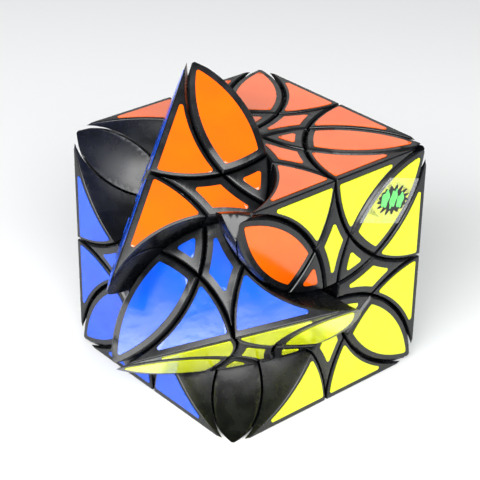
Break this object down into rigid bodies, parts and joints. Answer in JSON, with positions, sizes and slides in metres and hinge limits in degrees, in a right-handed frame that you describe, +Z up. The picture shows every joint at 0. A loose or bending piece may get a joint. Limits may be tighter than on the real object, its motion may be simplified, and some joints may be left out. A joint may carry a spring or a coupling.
{
  "type": "twisty cube puzzle",
  "caption": "Cube-shaped twisty puzzle that turns about its edges and its corners, with coloured stickers on black pieces, stored part-way through a scramble",
  "frame": {"origin": "On the plane that the cube rests on, at the middle of the box that the object fills with its sections turned as stored", "axes": "+Z up through the core's centre; -Y is the face with blue stickers when solved, +X the one with yellow stickers"},
  "size_m": [0.092, 0.092, 0.092],
  "materials": {
    "black_plastic": "smooth moulded black plastic",
    "core_plastic": "moulded core plastic, hidden",
    "steel": "bright steel screws, washers and springs",
    "orange_sticker": "glossy vinyl film",
    "red_sticker": "glossy vinyl film",
    "yellow_sticker": "glossy vinyl film",
    "white_sticker": "glossy vinyl film",
    "green_sticker": "glossy vinyl film",
    "blue_sticker": "glossy vinyl film",
    "clear_film": "thin clear film"
  },
  "bodies": {
    "back_section": {"back_corner_cores": "black_plastic", "back_edge_halves": "black_plastic", "back_petals": "black_plastic", "back_stickers_green": "green_sticker", "back_stickers_orange": "orange_sticker", "back_tips": "black_plastic", "back_wing_base": "black_plastic", "back_wing_cap": "black_plastic"},
    "corner_section": {"corner_corner_cores": "black_plastic", "corner_edge_halves": "black_plastic", "corner_petals": "black_plastic", "corner_stickers_green": "green_sticker", "corner_stickers_red": "red_sticker", "corner_stickers_yellow": "yellow_sticker"},
    "frame": {"frame_core": "core_plastic", "frame_edge_halves": "black_plastic", "frame_label_film": "clear_film", "frame_petals": "black_plastic", "frame_screws": "steel", "frame_springs": "steel", "frame_stickers_blue": "blue_sticker", "frame_stickers_green": "green_sticker", "frame_stickers_orange": "orange_sticker", "frame_stickers_red": "red_sticker", "frame_stickers_white": "white_sticker", "frame_stickers_yellow": "yellow_sticker", "frame_tips": "black_plastic", "frame_washers": "steel", "frame_wing_base": "black_plastic", "frame_wing_cap": "black_plastic"},
    "front_section": {"front_corner_cores": "black_plastic", "front_edge_halves": "black_plastic", "front_petals": "black_plastic", "front_stickers_blue": "blue_sticker", "front_stickers_orange": "orange_sticker", "front_stickers_yellow": "yellow_sticker", "front_tips": "black_plastic", "front_wing_base": "black_plastic", "front_wing_cap": "black_plastic"},
    "low_back_section": {"lowback_corner_cores": "black_plastic", "lowback_edge_halves": "black_plastic", "lowback_petals": "black_plastic", "lowback_stickers_red": "red_sticker", "lowback_stickers_white": "white_sticker", "lowback_tips": "black_plastic", "lowback_wing_base": "black_plastic", "lowback_wing_cap": "black_plastic"},
    "top_left_section": {"topleft_corner_cores": "black_plastic", "topleft_edge_halves": "black_plastic", "topleft_petals": "black_plastic", "topleft_stickers_blue": "blue_sticker", "topleft_stickers_orange": "orange_sticker", "topleft_tips": "black_plastic", "topleft_wing_base": "black_plastic", "topleft_wing_cap": "black_plastic"}
  },
  "joints": [
    {"name": "front_edge_turn", "type": "hinge", "parent": "frame", "child": "front_section", "pos_m": [-0.01084, 0.01084, 0.03518], "axis": [0.7071, -0.7071, 0], "continuous": true},
    {"name": "back_edge_turn", "type": "hinge", "parent": "frame", "child": "back_section", "pos_m": [-0.01084, 0.01084, 0.03518], "axis": [0, 0.7071, 0.7071], "continuous": true},
    {"name": "low_back_edge_turn", "type": "hinge", "parent": "frame", "child": "low_back_section", "pos_m": [-0.01084, 0.01084, 0.03518], "axis": [-0.7071, 0, -0.7071], "continuous": true},
    {"name": "right_low_corner_turn", "type": "hinge", "parent": "frame", "child": "corner_section", "pos_m": [-0.01084, 0.01084, 0.03518], "axis": [0.5774, 0.5774, -0.5774], "continuous": true},
    {"name": "top_left_edge_play", "type": "hinge", "parent": "frame", "child": "top_left_section", "pos_m": [-0.01084, 0.01084, 0.03518], "axis": [0, -0.7071, 0.7071], "range_deg": [-0.4, 0.4]}
  ]
}
